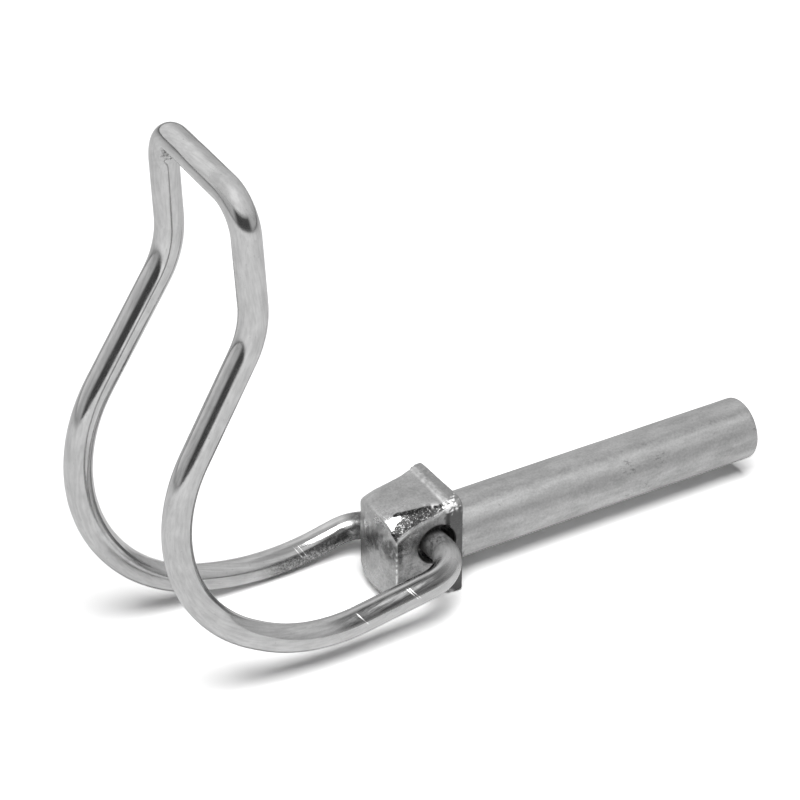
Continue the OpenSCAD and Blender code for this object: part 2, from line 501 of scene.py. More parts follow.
    def grimes_and_shade(self, graph: Graph, where: Socket, along: Socket, upward: Socket,
               scuffs: Socket) -> tuple[Socket, Socket]:
        """Finds the dirty smudges and painted shade on the two arms beside the head: a painted dark
        reflection over the near arm's upper side, and painted shade on the far arm's underside and its foot.

        Args:
            graph: The material's graph.
            where: The Object coordinates.
            along: Length along the wire.
            upward: How far the surface faces up.
            scuffs: Noise that is drawn out along the wire.

        Returns:
            Strength of the near arm's smudges and painted shade, and of the far one's with its foot.
        """
        near = graph.times(self.stretch(graph, along, self.near_grime_and_shade), graph.band(upward, *self.near_side),
                           graph.ramp(scuffs, *self.near_edge))
        patches = graph.noise(where, self.far_patches)
        far = graph.times(self.stretch(graph, along, self.far_grime_and_shade), graph.ramp(upward, *self.far_side),
                          graph.ramp(patches, *self.far_edge))
        foot = graph.times(self.stretch(graph, along, self.foot_grime_and_shade), graph.ramp(patches, *self.foot_edge))
        return near, graph.most(far, foot)

    def scratch(self, graph: Graph, where: Socket, along: Socket, upward: Socket, shade: Socket) -> Socket:
        """Lays bright, broken scratches across the wire.

        Args:
            graph: The material's graph.
            where: The Object coordinates.
            along: Length along the wire.
            upward: How far the surface faces up.
            shade: The shade so far.

        Returns:
            The shade with the scratches.
        """
        breaks = graph.ramp(graph.noise(where, self.scratch_breaks), *self.scratch_edge)
        side = graph.band(upward, *self.scratch_side)
        for place, slant in self.scratches:
            off = graph.math("SUBTRACT", graph.plus(along, graph.times(upward, slant)), place)
            line = graph.ramp(graph.math("ABSOLUTE", off), *self.scratch_width, 1.0, 0.0)
            shade = graph.mix(graph.times(line, side, breaks), shade, self.scratch_shade)
        return shade


@dataclass
class WireLoop:
    """The bent wire loop: two legs in the head's hole, two arms and the bar that joins them.

    Points are in millimetres, as the loop is bent up from its corners. An arm is a row of straights
    (length,) and bends (radius, turn).
    """

    wire_diameter: float = 3.4
    hinge: Pair = (-3.6, 1.65)
    leg_radius: float = 4.8
    near_leg: tuple[Point, ...] = ((0.35, 1.0, -0.55), (0.35, 9.75, -0.55))
    far_leg: tuple[Point, ...] = ((0, 1.0, 0.55), (-0.15, 6.5, -1.13), (-1.25, 7.65, -3.65),
                                  (-3.7, 9.75, -4.15))
    far_leg_radii: tuple[float, ...] = (3.0, 3.0, 4.8)
    near_start: float = -8.5
    near_arm: tuple[tuple[float, ...], ...] = ((14.2,), (20.2, 38.8), (1.0,), (18.9, 89.5), (12.7,),
                                               (11.0, -33.5), (12.2,))
    far_start: float = -11.9
    far_arm: tuple[tuple[float, ...], ...] = ((4.3,), (33.4, 27.0), (1.0,), (20.2, 107.9), (14.2,),
                                              (11.8, -35.6), (11.3,))
    corner_radius: float = 4.5
    bar_bow: Point = (-0.6, 0.0, 0.8)
    bar_radius: float = 12.0
    sides: int = 48
    step_degrees: float = 2.5
    spacing: float = 0.8
    finish: WireFinish = WireFinish()

    def leg_corners(self, leg: tuple[Point, ...], side: int) -> list[Vector]:
        """Places a leg's corners, on the far side of the head for 1 and on the near one for -1."""
        return [Vector((self.hinge[0] + x, side * y, self.hinge[1] + z)) for x, y, z in leg]

    @staticmethod
    def onward(x: float, z: float, heading: float, length: float) -> Pair:
        """Goes on from a place by a length, away from the tip and up by the heading."""
        return x - length * math.cos(math.radians(heading)), z + length * math.sin(math.radians(heading))

    def arm_corners(self, foot: Vector, heading: float,
                    steps: tuple[tuple[float, ...], ...]) -> tuple[list[Vector], list[float], Vector]:
        """Follows an arm from its foot and finds the corners that its bends round off.

        Args:
            foot: Where the arm's first straight meets its leg.
            heading: Direction in which it sets off, in degrees above the direction away from the tip.
            steps: The arm's straights and bends.

        Returns:
            The corners, the bend radius at each, and the arm's upper end.
        """
        x, z = foot.x, foot.z
        corners: list[Vector] = []
        radii: list[float] = []
        for step in steps:
            if len(step) == 1:
                x, z = self.onward(x, z, heading, step[0])
                continue
            radius, turn = step
            reach = radius * math.tan(math.radians(abs(turn) / 2))
            x, z = self.onward(x, z, heading, reach)
            corners.append(Vector((x, foot.y, z)))
            radii.append(radius)
            heading += turn
            x, z = self.onward(x, z, heading, reach)
        return corners, radii, Vector((x, foot.y, z))

    def corners(self) -> tuple[list[Vector], list[float]]:
        """Lists the whole loop's corners, from the near leg's inner end to the far leg's.

        Returns:
            The corners and the bend radius at each, which is 0 at the two ends.
        """
        near = self.leg_corners(self.near_leg, -1)
        far = self.leg_corners(self.far_leg, 1)
        near_arm, near_radii, near_top = self.arm_corners(near[-1], self.near_start, self.near_arm)
        far_arm, far_radii, far_top = self.arm_corners(far[-1], self.far_start, self.far_arm)
        middle = (near_top + far_top) / 2 + Vector(self.bar_bow)
        points = near + near_arm + [near_top, middle, far_top] + far_arm[::-1] + far[::-1]
        radii = ([0.0, self.leg_radius] + near_radii
                 + [self.corner_radius, self.bar_radius, self.corner_radius]
                 + far_radii[::-1] + list(self.far_leg_radii[::-1]) + [0.0])
        return points, radii

    def centre_line(self) -> list[Vector]:
        """Rounds the corners off into one smooth line.

        Returns:
            Points along the wire's centre line, in millimetres.
        """
        points, radii = self.corners()
        line = [points[0]]
        for before, corner, after, radius in zip(points, points[1:], points[2:], radii[1:]):
            into = (corner - before).normalized()
            away = (after - corner).normalized()
            turn = into.angle(away)
            start = corner - radius * math.tan(turn / 2) * into
            inward = (away - into.dot(away) * into).normalized()
            centre = start + radius * inward
            for parts in range(int((start - line[-1]).length / self.spacing), 1, -1):
                line.append(line[-1] + (start - line[-1]) * (1 / parts))
            pieces = max(2, round(math.degrees(turn) / self.step_degrees))
            for angle in (turn * i / pieces for i in range(pieces + 1)):
                line.append(centre + radius * (math.sin(angle) * into - math.cos(angle) * inward))
        line.append(points[-1])
        return line

    def sweep_tree(self) -> bpy.types.GeometryNodeTree:
        """Builds the tree that sweeps a round wire along a line.

        Returns:
            The tree, with named inputs for the wire's radius, its sides and its material.
        """
        tree = bpy.data.node_groups.new("wire_sweep", "GeometryNodeTree")
        for name, kind in (("Geometry", "NodeSocketGeometry"), ("Wire radius", "NodeSocketFloat"),
                           ("Sides", "NodeSocketInt"), ("Finish", "NodeSocketMaterial")):
            tree.interface.new_socket(name, in_out="INPUT", socket_type=kind)
        tree.interface.new_socket("Geometry", in_out="OUTPUT", socket_type="NodeSocketGeometry")
        graph = Graph(tree)
        given = graph.node("NodeGroupInput").outputs
        length = graph.node("GeometryNodeSplineParameter").outputs["Length"]
        along = graph.node("GeometryNodeStoreNamedAttribute",
                           {"Geometry": given["Geometry"], "Name": "along", "Value": length},
                           data_type="FLOAT", domain="POINT")
        ring = graph.node("GeometryNodeCurvePrimitiveCircle",
                          {"Resolution": given["Sides"], "Radius": given["Wire radius"]}, mode="RADIUS")
        sweep = graph.node("GeometryNodeCurveToMesh",
                           {"Curve": along.outputs["Geometry"], "Profile Curve": ring.outputs["Curve"],
                            "Fill Caps": True})
        normal = graph.node("GeometryNodeInputNormal").outputs["Normal"]
        facing = graph.node("GeometryNodeStoreNamedAttribute",
                            {"Geometry": sweep.outputs["Mesh"], "Name": "facing", "Value": normal},
                            data_type="FLOAT_VECTOR", domain="POINT")
        smooth = graph.node("GeometryNodeSetShadeSmooth", {0: facing.outputs["Geometry"]}, domain="FACE")
        real = graph.node("GeometryNodeRealizeInstances", {"Geometry": smooth.outputs[0]})
        dress = graph.node("GeometryNodeSetMaterial",
                           {"Geometry": real.outputs["Geometry"], "Material": given["Finish"]})
        graph.node("NodeGroupOutput", {"Geometry": dress.outputs["Geometry"]})
        return tree

    def build(self) -> bpy.types.Object:
        """Makes the loop.

        Returns:
            The loop as one plain mesh.
        """
        curve = bpy.data.curves.new("wire_line", "CURVE")
        curve.dimensions = "3D"
        line = [point * MM for point in self.centre_line()]
        spline = curve.splines.new("POLY")
        spline.points.add(len(line) - 1)
        for point, place in zip(spline.points, line):
            point.co = (*place, 1.0)
        holder = bpy.data.objects.new("wire_line", curve)
        bpy.context.scene.collection.objects.link(holder)
        sweep = holder.modifiers.new("sweep", "NODES")
        sweep.node_group = self.sweep_tree()
        values = {"Wire radius": self.wire_diameter / 2 * MM, "Sides": self.sides,
                  "Finish": self.finish.material()}
        for item in sweep.node_group.interface.items_tree:
            if item.in_out == "INPUT" and item.name in values:
                sweep[item.identifier] = values[item.name]
        return as_plain_mesh(holder, "wire_loop_body")


def as_plain_mesh(source: bpy.types.Object, name: str) -> bpy.types.Object:
    """Turns an object and its modifiers into a plain mesh object, and removes the source.

    Args:
        source: The object with its modifiers.
        name: Name of the new piece.

    Returns:
        The plain mesh object, at the origin.
    """
    bpy.context.view_layer.update()
    graph = bpy.context.evaluated_depsgraph_get()
    mesh = bpy.data.meshes.new_from_object(source.evaluated_get(graph), depsgraph=graph)
    mesh.name = name
    made = bpy.data.objects.new(name, mesh)
    bpy.context.scene.collection.objects.link(made)
    bpy.data.objects.remove(source)
    return made


def blend_max(a: np.ndarray, b: np.ndarray, reach: float) -> np.ndarray:
    """Joins two solids' distances where both hold, and rounds the edge between them.

    Args:
        a: Distances outside the first solid.
        b: Distances outside the second.
        reach: How far from the edge the rounding starts.

    Returns:
        Distances outside what the two have in common.
    """
    mix = np.maximum(reach - np.abs(a - b), 0.0) / reach
    return np.maximum(a, b) + reach * mix * mix / 4


def blend_min(a: np.ndarray, b: np.ndarray, reach: float) -> np.ndarray:
    """Joins two solids into one, with a fillet between them.

    Args:
        a: Distances outside the first solid.
        b: Distances outside the second.
        reach: How far from the crease the fillet starts.

    Returns:
        Distances outside the joined solid.
    """
    return -blend_max(-a, -b, reach)


def bell(off: np.ndarray, width: float) -> np.ndarray:
    """Gives 1 where off is 0, and less and less to both sides of it."""
    return np.exp(-(off / width) ** 2)


def waves(points: np.ndarray, length: float, seed: int) -> np.ndarray:
    """Makes smooth, irregular unevenness out of waves in many directions.

    Args:
        points: Places, one row each.
        length: Typical length of a wave.
        seed: Start of the random numbers.

    Returns:
        One value per place, mostly between -1 and 1.
    """
    count, shortest, longest, peak = 14, 0.7, 1.6, 1.6
    chance = np.random.default_rng(seed)
    total = np.zeros(len(points))
    for _ in range(count):
        way = chance.normal(size=3)
        way *= 2 * math.pi / (np.linalg.norm(way) * length * chance.uniform(shortest, longest))
        total += np.sin(points @ way + chance.uniform(0, 2 * math.pi))
    return total * math.sqrt(2 / count) / peak


def patches(points: np.ndarray, length: float, seed: int, middle: float = 0.5) -> np.ndarray:
    """Makes smooth patches out of waves.

    Args:
        points: Places, one row each.
        length: Typical length of a wave.
        seed: Start of the random numbers.
        middle: The usual value, which is more where there are more patches.

    Returns:
        One value from 0 to 1 per place.
    """
    return np.clip(middle + 0.5 * waves(points, length, seed), 0, 1)


class Edge(NamedTuple):
    """Where a mark begins, the reach over which it comes in, and how ragged its outline is."""

    start: float
    reach: float
    ragged: float = 0.0

    def strength(self, value: np.ndarray, uneven: np.ndarray) -> np.ndarray:
        """Gives 0 before the edge and 1 past its reach, for places with the given unevenness."""
        return np.clip((value + self.ragged * uneven - self.start) / self.reach, 0, 1)


class Belt(NamedTuple):
    """Where a mark begins and ends, the reach of its two ends, and how ragged they are."""

    low: float
    high: float
    reach: float
    ragged: float = 0.0

    def strength(self, value: np.ndarray, uneven: np.ndarray) -> np.ndarray:
        """Gives 1 between the two ends and 0 outside them, for places with the given unevenness."""
        return (Edge(self.low, self.reach, self.ragged).strength(value, uneven)
                * Edge(-self.high, self.reach, -self.ragged).strength(-value, uneven))


@dataclass(frozen=True)
class HeadMarks:
    """Where the head's plate is scorched, where staining lies on it, and where shade and highlights are
    painted on it, in millimetres.

    Places are measured back from the collar's seat, towards the near side, or up from the shaft's axis.
    The groove is the inner corner between the collar and the flat.
    """

    uneven_length: float = 0.9
    torn_length: float = 0.4
    near: Edge = Edge(1.5, 1.0)
    top: float = 2.0
    corner_width: float = 1.8
    scorch_width: float = 0.22
    scorch_start: Edge = Edge(1.3, 0.3, 0.25)
    bare_end: Edge = Edge(7.7, 0.3, 0.35)
    bare_end_side: Edge = Edge(0.52, 0.2, 0.25)
    bare_collar_side: Edge = Edge(0.4, 0.2, 0.3)
    bare_collar_slant: float = 0.2
    bare_collar_middle: float = 2.0
    bare_collar_end: float = 4.6
    end_heights: Belt = Belt(0.4, 4.0, 0.9, 0.25)
    end_start: Edge = Edge(8.2, 0.5)
    # Painted shade: the near flat is darkened, as a painted reflection of the shadowed floor
    flat: float = 0.75
    flat_start: Edge = Edge(4.35, 0.15)
    flat_place: float = 1.1
    # Painted shade with dirty smudges: the inner corner between the collar and the near flat, and the collar
    # beside it
    side: Edge = Edge(4.2, 0.3)
    collar: float = 1.9
    collar_places: Belt = Belt(-0.5, 2.4, 0.4)
    collar_heights: Belt = Belt(-5.5, 6.0, 0.8, 0.3)
    groove: float = 2.2
    groove_width: float = 0.4
    groove_heights: Belt = Belt(-4.5, 5.8, 0.6, 0.3)
    # Painted shade: the collar's foot, down by the floor
    foot: float = 2.2
    foot_start: Edge = Edge(1.2, 1.2)
    foot_place: float = 1.4
    land: float = 0.35
    land_start: Edge = Edge(2.0, 2.0)
    land_place: float = 1.2
    stain_and_shade_limit: float = 2.2
    # Painted highlights: the burr rim, the crease, and a splash and a trail by the collar's corner
    rim_width: float = 0.15
    crease_place: float = 0.1
    crease_width: float = 0.16
    crease_height: float = 5.6
    crease: float = 0.25
    crease_slope: float = 0.08
    crease_ragged: float = 0.2
    crease_limit: float = 0.8
    splash_corner: Pair = (-4.1, 6.3)
    splash_edge: Edge = Edge(-0.6, 0.15, 0.45)  # of the distance from the corner, counted down
    splash_places: Belt = Belt(0.9, 2.4, 0.2, 0.4)
    trail_width: float = 0.3
    trail_places: Belt = Belt(2.6, 4.6, 0.3)

    def strengths(self, pin: Pin, points: np.ndarray) -> dict[str, np.ndarray]:
        """Finds how strong each kind of mark is.

        Args:
            pin: The pin that the marks are on.
            points: Places on the head, one row each.

        Returns:
            Strengths by the names of the mesh's attributes, from 0 to 1, or more where staining and painted
            shade run deep.
        """
        x, y, z = points.T
        back = -x
        uneven = waves(points, self.uneven_length, seed=31)
        torn = waves(points, self.torn_length, seed=37)
        off_cone = pin.off_cone(x, y, z)
        off_groove = back - pin.land_at(y)
        # The conical corner above the hole is scorched, but for its end and a bare patch at the collar
        upper = self.near.strength(-y, uneven) * (z > self.top)
        across = (y + pin.half_flats) / self.corner_width
        end_bare = self.bare_end.strength(back, uneven) * self.bare_end_side.strength(across, uneven)
        slanted = across - self.bare_collar_slant * (back - self.bare_collar_middle)
        collar_bare = self.bare_collar_side.strength(slanted, uneven) * (back < self.bare_collar_end)
        scorch = bell(off_cone, self.scorch_width) * upper * (1 - end_bare) * (1 - collar_bare)
        scorch *= self.scorch_start.strength(back, uneven)
        # Staining and painted shade: staining across the head's end and on the collar's land; painted shade
        # over the near flat, in the groove beside it and along the collar, and at the collar's foot
        end = self.end_heights.strength(z, uneven) * self.end_start.strength(back, uneven)
        flat = self.flat * self.flat_start.strength(-y, uneven) * (back > self.flat_place)
        collar = self.collar * self.collar_places.strength(back, uneven)
        collar *= self.collar_heights.strength(z, uneven)
        groove = self.groove * bell(off_groove, self.groove_width) * self.groove_heights.strength(z, uneven)
        corner = (collar + groove) * self.side.strength(-y, uneven)
        foot = self.foot * self.foot_start.strength(-z, uneven) * (back < self.foot_place)
        land = self.land * self.land_start.strength(z, uneven) * (back < self.land_place)
        # Painted highlights: the rim of the near flat, the crease at the collar's foot, and a splash and a
        # trail by its corner
        off_end = np.minimum(np.abs(pin.off_crown(x, y)), np.abs(off_cone))
        rim = bell(np.hypot(pin.off_flats(y), off_end), self.rim_width) * (y < 0)
        uneven_strength = self.crease - self.crease_slope * y + self.crease_ragged * uneven
        crease = bell(off_groove - self.crease_place, self.crease_width) * (z > self.crease_height)
        crease *= np.clip(uneven_strength, 0, self.crease_limit)
        from_corner = np.hypot(y - self.splash_corner[0], z - self.splash_corner[1])
        splash = self.splash_edge.strength(-from_corner, torn) * self.splash_places.strength(back, torn)
        trail = collar_bare * bell(off_cone, self.trail_width) * upper
        trail *= self.trail_places.strength(back, uneven)
        return {"scorch": np.clip(scorch, 0, 1), "end_stain": np.clip(end, 0, 1),
                "stain_and_shade": np.clip(flat + corner + foot + land, 0, self.stain_and_shade_limit),
                "painted_highlight": np.clip(rim + crease + splash + trail, 0, 1)}


@dataclass
class Pin:
    """The forged head with its collar, and the shaft. Sizes are in millimetres."""

    shaft_radius: float = 4.0
    shaft_length: float = 44.5
    tip_break: float = 0.5
    shaft_sides: int = 128
    shaft_rings: int = 150
    tip_rings: int = 6
    face_rings: int = 14
    face_centre: float = 0.3
    head_length: float = 9.8
    half_flats: float = 4.6
    head_rise: float = 0.4
    cone: tuple[Pair, ...] = ((0.0, 9.35), (1.1, 8.1), (2.4, 7.4), (3.6, 7.13), (7.1, 6.63), (9.8, 5.78))
    cone_blur: tuple[float, ...] = (-0.6, -0.3, 0.0, 0.3, 0.6)
    cone_shift: float = 0.3
    end_top: float = 6.1
    end_drop: float = 4.9
    taper_limit: float = 1.2
    shoulder: float = 0.4
    shoulder_drop: float = 5.7
    crown_radius: float = 14.0
    crown_shift: float = 0.6
    collar_thickness: float = 1.1
    collar_half_width: float = 4.85
    collar_top: float = 6.95
    collar_drop: float = 6.0
    collar_corner: float = 0.4
    worn_corner: float = 1.3
    top_lean: float = 0.025
    lean_reach: float = 2.0
    land: float = 1.8
    land_taper: float = 0.055
    hole_radius: float = 2.45
    hole_back: float = 3.6
    hole_rise: float = 1.65
    top_edge: float = 0.3
    bottom_edge: float = 0.45
    flat_edge: float = 0.15
    end_edge: float = 0.4
    collar_edge: float = 0.3
    cove: float = 0.5
    seat_fillet: float = 0.25
    hole_edge: float = 0.35
    burr_height: float = 0.13
    burr_width: float = 0.14
    wide_dent: float = 0.05
    small_dent: float = 0.02
    dents_end: float = 0.3
    shaft_dent: float = 0.012
    grain: float = 0.13
    cut: float = 0.8
    cut_spare: float = 0.6
    cut_lap: float = 0.1
    # A band painted darker along the shaft's upper near side: a painted reflection of a dimmer ceiling
    shade_band_turn: float = 64.0
    shade_band_width: float = 8.0
    shade_band_wander: float = 2.0
    shade_band_strength: float = 0.4
    marks: HeadMarks = HeadMarks()
    finish: ForgedFinish = ForgedFinish()
    turned_finish: ForgedFinish = ForgedFinish(
        shade=0.47, roughness=0.42, speckle=0.045, cloud=0.065, streak=0.025,
        scuffs=((25.2, -3.5, -1.9, 1.6), (27.2, -3.7, -1.4, 1.5), (24.9, -3.4, 2.0, 1.9),
                (29.5, -3.4, 2.0, 1.5), (44.3, -3.5, 1.8, 0.9)))

    def off_flats(self, y: np.ndarray) -> np.ndarray:
        """Measures outwards from the two flats, for places along the cross hole."""
        return np.abs(y) - self.half_flats

    def off_crown(self, x: np.ndarray, y: np.ndarray) -> np.ndarray:
        """Measures outwards from the head's crowned end, for places seen from above."""
        middle = self.crown_radius - self.head_length
        return np.hypot(x - middle, y + self.crown_shift) - self.crown_radius

    def off_cone(self, x: np.ndarray, y: np.ndarray, z: np.ndarray,
                 blur: tuple[float, ...] = (0.0,)) -> np.ndarray:
        """Measures from the conical surface that trims the head's corners.

        Args:
            x: Places along the shaft.
            y: Places along the cross hole.
            z: Heights.
            blur: Shifts along the shaft whose results are averaged, to smooth the cone's profile.

        Returns:
            Distances outside the cone, negative inside it.
        """
        stations, radii = zip(*self.cone)
        radius = sum(np.interp(shift - x, stations, radii) for shift in blur) / len(blur)
        return np.hypot(y - self.cone_shift, z - self.head_rise) - radius

    def land_at(self, y: np.ndarray) -> np.ndarray:
        """Gives the thickness of the collar's land, for places along the cross hole."""
        return self.land - self.land_taper * y

    def levelled(self, y: np.ndarray, z: np.ndarray) -> np.ndarray:
        """Takes the top's slight lean out of the heights.

        Args:
            y: Places along the cross hole.
            z: Heights.

        Returns:
            Heights above the shaft's axis as they would be if the top were level.
        """
        return z - self.top_lean * (y + self.collar_half_width) * np.clip(z / self.lean_reach, 0, 1)

    def head_body(self, points: np.ndarray) -> np.ndarray:
        """Measures the head without its collar.

        Args:
            points: Places, one row each.

        Returns:
            Distances outside the head, negative inside it.
        """
        x, y, z = points.T
        run = self.head_length - self.collar_thickness
        share = np.clip((-x - self.collar_thickness) / run, 0.0, self.taper_limit)
        top = self.levelled(y, z) - (self.collar_top - self.shoulder) * (1 - share) - self.end_top * share
        bottom = -z - self.shoulder_drop * (1 - share) - self.end_drop * share
        flats, crown = self.off_flats(y), self.off_crown(x, y)
        body = blend_max(top, self.off_cone(x, y, z, self.cone_blur), self.top_edge)
        body = blend_max(body, bottom, self.bottom_edge)
        body = blend_max(body, flats, self.flat_edge)
        body = blend_max(body, crown, self.end_edge)
        # The burr that the trimming left along the near flat's edge at the head's end
        ragged = patches(points, length=0.8, seed=21, middle=0.75)
        burr = self.burr_height * ragged * bell(np.hypot(flats, crown), self.burr_width) * (y < 0)
        return np.maximum(body, x + self.collar_thickness / 2) - burr

    def outline(self, y: np.ndarray, z: np.ndarray) -> np.ndarray:
        """Measures the collar's outline, a rectangle with rounded corners.

        Args:
            y: Places along the cross hole.
            z: Heights.

        Returns:
            Distances outside the outline, negative inside it.
        """
        z = self.levelled(y, z)
        middle = (self.collar_top - self.collar_drop) / 2
        half_height = (self.collar_top + self.collar_drop) / 2
        side = np.abs(y) - (self.collar_half_width - self.collar_corner)
        high = np.abs(z - middle) - (half_height - self.collar_corner)
        rim = np.hypot(np.maximum(side, 0), np.maximum(high, 0)) + np.minimum(np.maximum(side, high), 0)
        rim = rim - self.collar_corner
        # The near top corner is forged rounder than the others
        beside = np.maximum(-y - (self.collar_half_width - self.worn_corner), 0)
        above = np.maximum(z - (self.collar_top - self.worn_corner), 0)
        return np.maximum(rim, np.hypot(beside, above) - self.worn_corner)

    def unevenness(self, points: np.ndarray) -> np.ndarray:
        """Makes the forging's dents, which only go inwards, and fade out towards the shaft.

        Args:
            points: Places, one row each.

        Returns:
            Depth at each place.
        """
        wide = self.wide_dent * patches(points, length=4.5, seed=3)
        small = self.small_dent * patches(points, length=1.1, seed=5)
        return (wide + small) * np.clip(self.dents_end - points[:, 0], 0, 1)

    def solid(self, points: np.ndarray) -> np.ndarray:
        """Measures the whole pin.

        Args:
            points: Places, one row each.

        Returns:
            Distances outside the pin, negative inside it.
        """
        x, y, z = points.T
        land = self.land_at(y)
        plate = np.abs(x + land / 2) - land / 2
        outline = self.outline(y, z)
        head = blend_min(self.head_body(points), np.maximum(outline, plate), self.cove)
        head = blend_max(blend_max(head, outline, self.collar_edge), x, self.collar_edge)
        shaft = np.maximum(np.hypot(y, z) - self.shaft_radius, -x - self.collar_thickness / 2)
        # The seat's fillet is kept small, so that the collar still sits flat
        whole = blend_min(head, shaft, self.seat_fillet) + self.unevenness(points)
        bore = self.hole_radius - np.hypot(x + self.hole_back, z - self.hole_rise)
        return blend_max(whole, bore, self.hole_edge)

    def slope(self, points: np.ndarray) -> tuple[np.ndarray, np.ndarray]:
        """Measures the pin and the direction in which the distance grows.

        Args:
            points: Places, one row each.

        Returns:
            The distances, and their slopes, one row each.
        """
        here = self.solid(points)
        step = 0.004
        slopes = np.stack([(self.solid(points + step * axis) - here) / step for axis in np.eye(3)], axis=1)
        return here, slopes

    def fitted(self, points: np.ndarray) -> tuple[np.ndarray, np.ndarray]:
        """Moves places onto the pin's surface.

        Args:
            points: Places near the surface, one row each.

        Returns:
            The places on the surface, and the surface's normals there.
        """
        rounds, longest_move, least_slope = 7, 0.15, 0.2
        for _ in range(rounds):
            here, slopes = self.slope(points)
            steepness = np.maximum((slopes ** 2).sum(axis=1), least_slope)
            move = -(here / steepness)[:, None] * slopes
            size = np.linalg.norm(move, axis=1)
            points = points + move * np.minimum(1.0, longest_move / np.maximum(size, TINY))[:, None]
        _, slopes = self.slope(points)
        return points, slopes / np.maximum(np.linalg.norm(slopes, axis=1), TINY)[:, None]

    def blank(self, node: bpy.types.Object) -> bpy.types.Object:
        """Cuts the head and a little of the shaft from the solid, and meshes it evenly.

        Args:
            node: The pin's solid.

        Returns:
            A plain mesh, in millimetres.
        """
        blank = bmesh.new()
        blank.from_mesh(node.data)
        blank.transform(node.matrix_world)
        bmesh.ops.remove_doubles(blank, verts=blank.verts, dist=0.001 * MM)
        cut = bmesh.ops.bisect_plane(blank, geom=blank.verts[:] + blank.edges[:] + blank.faces[:],
                                     plane_co=((self.cut + self.cut_spare) * MM, 0, 0), plane_no=(1, 0, 0),
                                     clear_outer=True)
        rim = [part for part in cut["geom_cut"] if isinstance(part, bmesh.types.BMEdge)]
        bmesh.ops.holes_fill(blank, edges=rim)
        bmesh.ops.scale(blank, vec=(1 / MM,) * 3, verts=blank.verts)
        mesh = bpy.data.meshes.new("head_blank")
        blank.to_mesh(mesh)
        blank.free()
        holder = bpy.data.objects.new("head_blank", mesh)
        bpy.context.scene.collection.objects.link(holder)
        remesh = holder.modifiers.new("even", "REMESH")
        remesh.mode = "VOXEL"
        remesh.voxel_size = self.grain
        return as_plain_mesh(holder, "pin_head")

    def head(self, node: bpy.types.Object) -> bpy.types.Object:
        """Makes the head and the shaft's first stretch, as one evenly meshed skin.

        Args:
            node: The pin's solid.

        Returns:
            The head, as a plain mesh with its marks as attributes.
        """
        made = self.blank(node)
        mesh = made.data
        places = np.empty(3 * len(mesh.vertices))
        mesh.vertices.foreach_get("co", places)
        places, normals = self.fitted(places.reshape(-1, 3))
        mesh.vertices.foreach_set("co", (places * MM).ravel())
        for name, strengths in self.marks.strengths(self, places).items():
            mesh.attributes.new(name, "FLOAT", "POINT").data.foreach_set("value", strengths)
        mesh.attributes.new("facing", "FLOAT_VECTOR", "POINT").data.foreach_set("vector", normals.ravel())
        trim = bmesh.new()
        trim.from_mesh(mesh)
        spare = [face for face in trim.faces if face.calc_center_median().x > self.cut * MM]
        bmesh.ops.delete(trim, geom=spare, context="FACES")
        for face in trim.faces:
            face.smooth = True
        trim.to_mesh(mesh)
        trim.free()
        kept = np.empty(3 * len(mesh.vertices))
        mesh.attributes["facing"].data.foreach_get("vector", kept)
        mesh.normals_split_custom_set_from_vertices(kept.reshape(-1, 3))
        return made

    def shaft(self) -> bpy.types.Object:
        """Makes the shaft as a fine turned skin, up to its broken edge and end face.

        Returns:
            The shaft, as a plain mesh with its painted darker band as an attribute.
        """
        sides, length, edge = self.shaft_sides, self.shaft_length, self.tip_break
        start, flat_radius = self.cut - self.cut_lap, self.shaft_radius - edge
        rings = [(x, self.shaft_radius) for x in np.linspace(start, length - edge, self.shaft_rings)]
        rings += [(length - edge + edge * math.sin(a), flat_radius + edge * math.cos(a))
                  for a in np.linspace(0, math.pi / 2, self.tip_rings)[1:]]
        rings += [(length, r) for r in np.linspace(flat_radius, self.face_centre, self.face_rings)[1:]]
        turns = np.linspace(0, 2 * math.pi, sides, endpoint=False)
        places = np.array([(x, r * math.cos(a), r * math.sin(a)) for x, r in rings for a in turns])
        inward = self.shaft_dent * patches(places, length=6.0, seed=11)
        places[:, 1:] *= (1 - inward / np.maximum(np.hypot(places[:, 1], places[:, 2]), 1.0))[:, None]
        faces = [(i + j, i + (j + 1) % sides, i + sides + (j + 1) % sides, i + sides + j)
                 for i in range(0, (len(rings) - 1) * sides, sides) for j in range(sides)]
        faces.append(tuple(range((len(rings) - 1) * sides, len(rings) * sides)))
        mesh = bpy.data.meshes.new("pin_shaft")
        mesh.from_pydata((places * MM).tolist(), [], faces)
        mesh.shade_smooth()
        # A darker band painted along the shaft's upper near side, where it mirrors the ceiling: a painted
        # reflection
        turn = np.degrees(np.arctan2(places[:, 2], -places[:, 1]))
        wander = self.shade_band_wander * waves(places, length=9.0, seed=41)
        line = self.shade_band_strength * bell(turn - self.shade_band_turn + wander, self.shade_band_width)
        mesh.attributes.new("stain_and_shade", "FLOAT", "POINT").data.foreach_set("value", line)
        made = bpy.data.objects.new("pin_shaft", mesh)
        bpy.context.scene.collection.objects.link(made)
        return made

    def build(self, node: bpy.types.Object) -> list[bpy.types.Object]:
        """Makes the pin's pieces.

        Args:
            node: The pin's solid.

        Returns:
            The head and the shaft.
        """
        made = [self.head(node), self.shaft()]
        for piece, finish in zip(made, (self.finish, self.turned_finish)):
            piece.data.materials.clear()
            piece.data.materials.append(finish.material())
        return made


